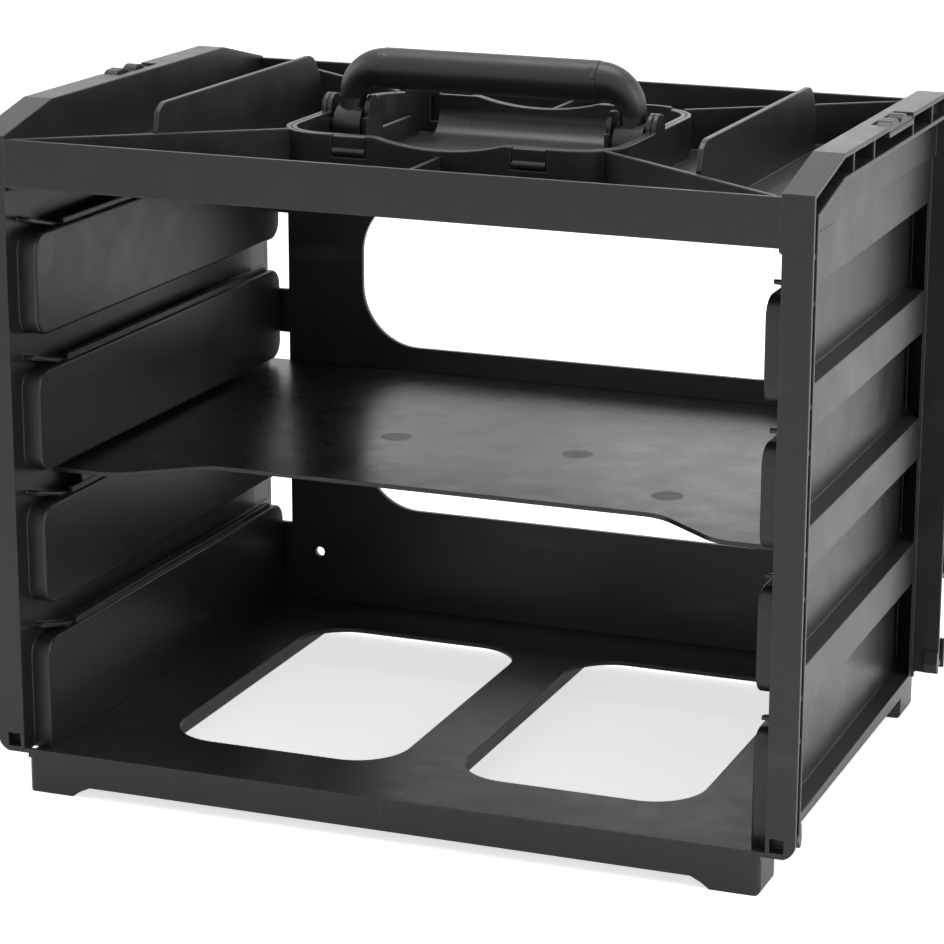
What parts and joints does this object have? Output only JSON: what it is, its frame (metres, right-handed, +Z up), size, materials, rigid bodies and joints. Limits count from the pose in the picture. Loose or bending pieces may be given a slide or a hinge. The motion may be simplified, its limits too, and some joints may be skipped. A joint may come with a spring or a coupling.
{
  "type": "assortment box carrier",
  "caption": "Open-front carrier rack with box runners in its side walls, a lift-out shelf, a tray top and a fold-down carrying handle.",
  "frame": {"origin": "on the ground, under the middle of the rack", "axes": "+Z up, +X to the right as seen from the open front, +Y from the open front to the back panel"},
  "size_m": [0.376, 0.265, 0.3282],
  "materials": {
    "shell": "fine moulded texture",
    "insert": "satin moulded",
    "grip": "matt, soft",
    "shelf": "satin moulded",
    "pin": "plain"
  },
  "bodies": {
    "rack": {"side_wall_left": "shell", "side_wall_right": "shell", "floor_frame": "shell", "top_tray": "shell", "back_panel": "shell", "handle_cup": "insert", "coupling_clip_left": "insert", "coupling_clip_right": "insert"},
    "handle": {"handle_core": "insert", "handle_grip": "grip", "handle_elbow_left": "insert", "handle_elbow_right": "insert", "pivot_pin_left": "pin", "pivot_pin_right": "pin"},
    "shelf": {"shelf": "shelf"}
  },
  "joints": [
    {"name": "handle_fold", "type": "hinge", "parent": "rack", "child": "handle", "pos_m": [0, 0, 0.292], "axis": [1, 0, 0], "range_deg": [-75, 90]},
    {"name": "shelf_slide", "type": "slide", "parent": "rack", "child": "shelf", "axis": [0, -1, 0], "range_m": [0, 0.28]}
  ]
}
